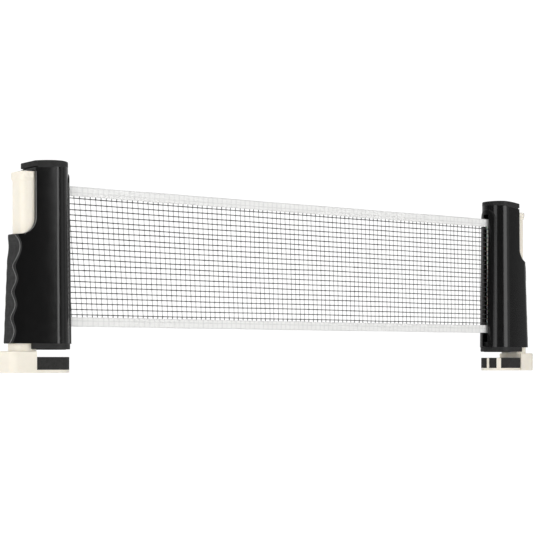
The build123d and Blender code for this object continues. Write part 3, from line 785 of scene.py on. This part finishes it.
def rim_edge(side, flank):
    """The corner where the cut-out above the handle meets one flank of the housing.
    Rays fan out from the hub of the cut-out's round corner, and above it they are level."""
    outboard = OUTBOARD[side]
    hub_x = post_axis[side].x + outboard * CUT_OUT_HUB
    hub_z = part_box(f"{side}_grip")[1].z + CUT_OUT_RISE
    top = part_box(f"{side}_slider")[1].z
    tree = surface_of(f"{side}_housing")
    rays = [(hub_z, math.radians(turn)) for turn in np.linspace(-80, 0, 40)]
    rays += [(z, 0.0) for z in np.linspace(hub_z + 0.5 * MM, top, 60)]
    corner = []
    for start_z, turn in rays:
        start = Vector((hub_x, flank * HOUSING_SIDE, start_z))
        way = Vector((-outboard * math.cos(turn), 0, math.sin(turn)))
        hit = tree.ray_cast(start, way, CUT_OUT_REACH)[0]
        if hit is None:
            continue
        inside = hit + way * 0.3 * MM
        wall = flank_at(tree, inside.x, inside.z, flank)
        if wall is not None:
            bead = hit + way * 0.2 * MM
            corner.append((bead.x, wall.y - flank * 0.1 * MM, bead.z))
    return np.array(corner)


# the beads' grey is a painted highlight along the edges
painted_highlight_bead = painted_highlight_bead_look()
for side in SIDES:
    for name, edge, radius, slot in (
        ("grip_edge_bead", grip_edge, GRIP_BEAD_R, "grip_rubber"),
        ("rim_bead", rim_edge, RIM_BEAD_R, "black_housing"),
    ):
        paths = [edge(side, flank) for flank in (-1, 1)]
        radii = [np.full(len(path), radius) for path in paths]
        points, faces = tubes(paths, radii, BEAD_SIDES, (1, 0, 0), (0, 1, 0))
        bead = make(f"{side}_{name}", points, faces, painted_highlight_bead)
        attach(bead, f"{side}_post")

# -------------------------------------------------- finishes of the carried-over nodes
black_housing = black_moulding()
black_cap = black_cap_moulding()
cream = cream_moulding()
nylon = white_nylon()
finishes = {
    "housing": black_housing,
    "top_cap": black_cap,
    "bottom_cap": black_cap,
    "grip": grip_rubber(),
    "slider": cream,
    "jaw_pad": pad_rubber(),
    "upper_pad": pad_rubber(),
    "spring_seat": black_cap,
    "spring_rod": steel,
    "return_spring": spring_steel,
    "top_screws": steel,
    "base_screws": steel,
}
node_finishes = {f"{side}_{name}": look for side in SIDES for name, look in finishes.items()}
node_finishes |= {
    "reel_spool": nylon,
    "reel_top_bush": nylon,
    "reel_bottom_bush": nylon,
    "reel_spring_plug": nylon,
    "reel_spring_collar": nylon,
    "anchor_clip": nylon,
    "reel_axle": steel,
    "anchor_rod": steel,
    "reel_spring": spring_steel,
    "net_roll": rolled_net(),
    "net_mesh": black_net,
    "net_top_tape": white_tape,
    "net_bottom_tape": white_tape,
}
for name, finish in node_finishes.items():
    nodes[name].data.materials.clear()
    nodes[name].data.materials.append(finish)

# -------------------------------------------------- studio: floor, lights, surroundings
FLOOR_Z = -0.20                 # below the jaws when they are open
FLOOR_HALF = 6.0
square = ((-1, -1), (1, -1), (1, 1), (-1, 1))
corners = [(x * FLOOR_HALF, y * FLOOR_HALF, FLOOR_Z) for x, y in square]
floor_mesh = bpy.data.meshes.new("studio_floor")
floor_mesh.from_pydata(corners, [], [(0, 1, 2, 3)])
floor_mesh.materials.append(floor_paint())
floor = bpy.data.objects.new("studio_floor", floor_mesh)
bpy.context.scene.collection.objects.link(floor)


MIDDLE = Vector((0, 0, 0.1))
LEFT_END = Vector((-0.29, 0, 0.1))


def softbox(name, azimuth, power, size, height, distance=2.4, aim=MIDDLE, glossy=True):
    """A rectangular lamp. azimuth is the direction from the object to it, from +X towards +Y,
    and size is its width and height."""
    data = bpy.data.lights.new(name, "AREA")
    data.shape = "RECTANGLE"
    data.size, data.size_y = size
    data.energy = power
    lamp = bpy.data.objects.new(name, data)
    angle = math.radians(azimuth)
    across = Vector((distance * math.cos(angle), distance * math.sin(angle)))
    lamp.location = (aim.x + across.x, aim.y + across.y, height)
    lamp.rotation_mode = "QUATERNION"
    lamp.rotation_quaternion = (aim - lamp.location).to_track_quat("-Z", "Y")
    lamp.visible_glossy = glossy
    bpy.context.scene.collection.objects.link(lamp)
    return lamp


def only_on(lamp, names, state="INCLUDE"):
    """Let a lamp light only the named nodes, or with EXCLUDE all but them."""
    group = bpy.data.collections.new(lamp.name)
    for name in names:
        group.objects.link(nodes[name])
    for entry in group.collection_objects:
        entry.light_linking.link_state = state
    lamp.light_linking.receiver_collection = group


# the strips draw the bright stripes down the posts: the housings have strips of their own
LEFT_HOUSING = ["left_housing"]
RIGHT_HOUSING = ["right_housing"]
HOUSINGS = LEFT_HOUSING + RIGHT_HOUSING
strip = softbox("strip_front_right", 296, 14, (0.56, 2.2), 0.25)
only_on(strip, HOUSINGS, "EXCLUDE")
strip = softbox("strip_front_left", 219, 5, (0.60, 1.6), 0.30)
only_on(strip, HOUSINGS, "EXCLUDE")
strip = softbox("left_post_strip", 294.5, 10, (0.48, 2.2), 0.25, aim=post_axis["left"])
only_on(strip, LEFT_HOUSING)
strip = softbox("right_post_strip", 289, 20, (1.2, 2.2), 0.25, aim=post_axis["right"])
only_on(strip, RIGHT_HOUSING)
strip = softbox("right_flange_strip", 212, 8, (1.0, 1.6), 0.30, aim=post_axis["right"])
only_on(strip, RIGHT_HOUSING)
softbox("panel_right", 318, 2.6, (0.9, 2.2), 0.25)
softbox("overhead", 250, 10, (2.0, 2.0), 2.2, distance=0.8)
# the fills light the pieces without showing in their gloss
softbox("fill_front", 265, 18, (1.6, 1.4), 0.5, glossy=False)
softbox("fill_middle", 215, 8, (1.6, 1.4), 0.5, glossy=False)
softbox("fill_left", 165, 24, (1.2, 1.2), 0.35, distance=2.0, aim=LEFT_END, glossy=False)

# white behind the object for the camera, and for the rest a surround that is brighter
# beyond the object than in front of it
CAMERA_TURN = math.radians(36.8)
BACKDROP_STRENGTH = 1.05
SURROUND_TILT = 0.15
SURROUND_DARK = 0.06
SURROUND_BRIGHT = 0.85
world = bpy.data.worlds.new("studio")
world.use_nodes = True
bpy.context.scene.world = world
tree = world.node_tree
tree.nodes.clear()
output = tree.nodes.new("ShaderNodeOutputWorld")
surround = tree.nodes.new("ShaderNodeBackground")
backdrop = tree.nodes.new("ShaderNodeBackground")
for background in (surround, backdrop):
    background.inputs["Color"].default_value = (1, 1, 1, 1)
backdrop.inputs["Strength"].default_value = BACKDROP_STRENGTH
choose = tree.nodes.new("ShaderNodeMixShader")
ray = tree.nodes.new("ShaderNodeLightPath")
place = tree.nodes.new("ShaderNodeTexCoord")
along = tree.nodes.new("ShaderNodeVectorMath")
along.operation = "DOT_PRODUCT"
along.inputs[1].default_value = (math.sin(CAMERA_TURN), math.cos(CAMERA_TURN), SURROUND_TILT)
ramp = tree.nodes.new("ShaderNodeMapRange")
set_range(ramp, -0.05, 1.0, SURROUND_DARK, SURROUND_BRIGHT)
for source, target in (
    (place.outputs["Generated"], along.inputs[0]),
    (along.outputs["Value"], ramp.inputs["Value"]),
    (ramp.outputs["Result"], surround.inputs["Strength"]),
    (ray.outputs["Is Camera Ray"], choose.inputs["Fac"]),
    (surround.outputs[0], choose.inputs[1]),
    (backdrop.outputs[0], choose.inputs[2]),
    (choose.outputs[0], output.inputs["Surface"]),
):
    tree.links.new(source, target)

bpy.context.scene.view_settings.view_transform = "Standard"

# -------------------------------------------------- camera
PICTURE = 533                   # pixels, as are the next two
FOCAL_PIXELS = 1494.0
HORIZON_ROW = 361.0
CAMERA_PLACE = (-0.9620, -1.2303, 0.01085)
camera_data = bpy.data.cameras.new("camera")
camera_data.sensor_width = 36.0
camera_data.lens = FOCAL_PIXELS * camera_data.sensor_width / PICTURE
camera_data.shift_y = (HORIZON_ROW - PICTURE / 2) / PICTURE
camera_data.clip_start = 0.05
camera_data.clip_end = 50
camera = bpy.data.objects.new("camera", camera_data)
camera.location = CAMERA_PLACE
camera.rotation_euler = (math.radians(90), 0, -CAMERA_TURN)
bpy.context.scene.collection.objects.link(camera)
bpy.context.scene.camera = camera
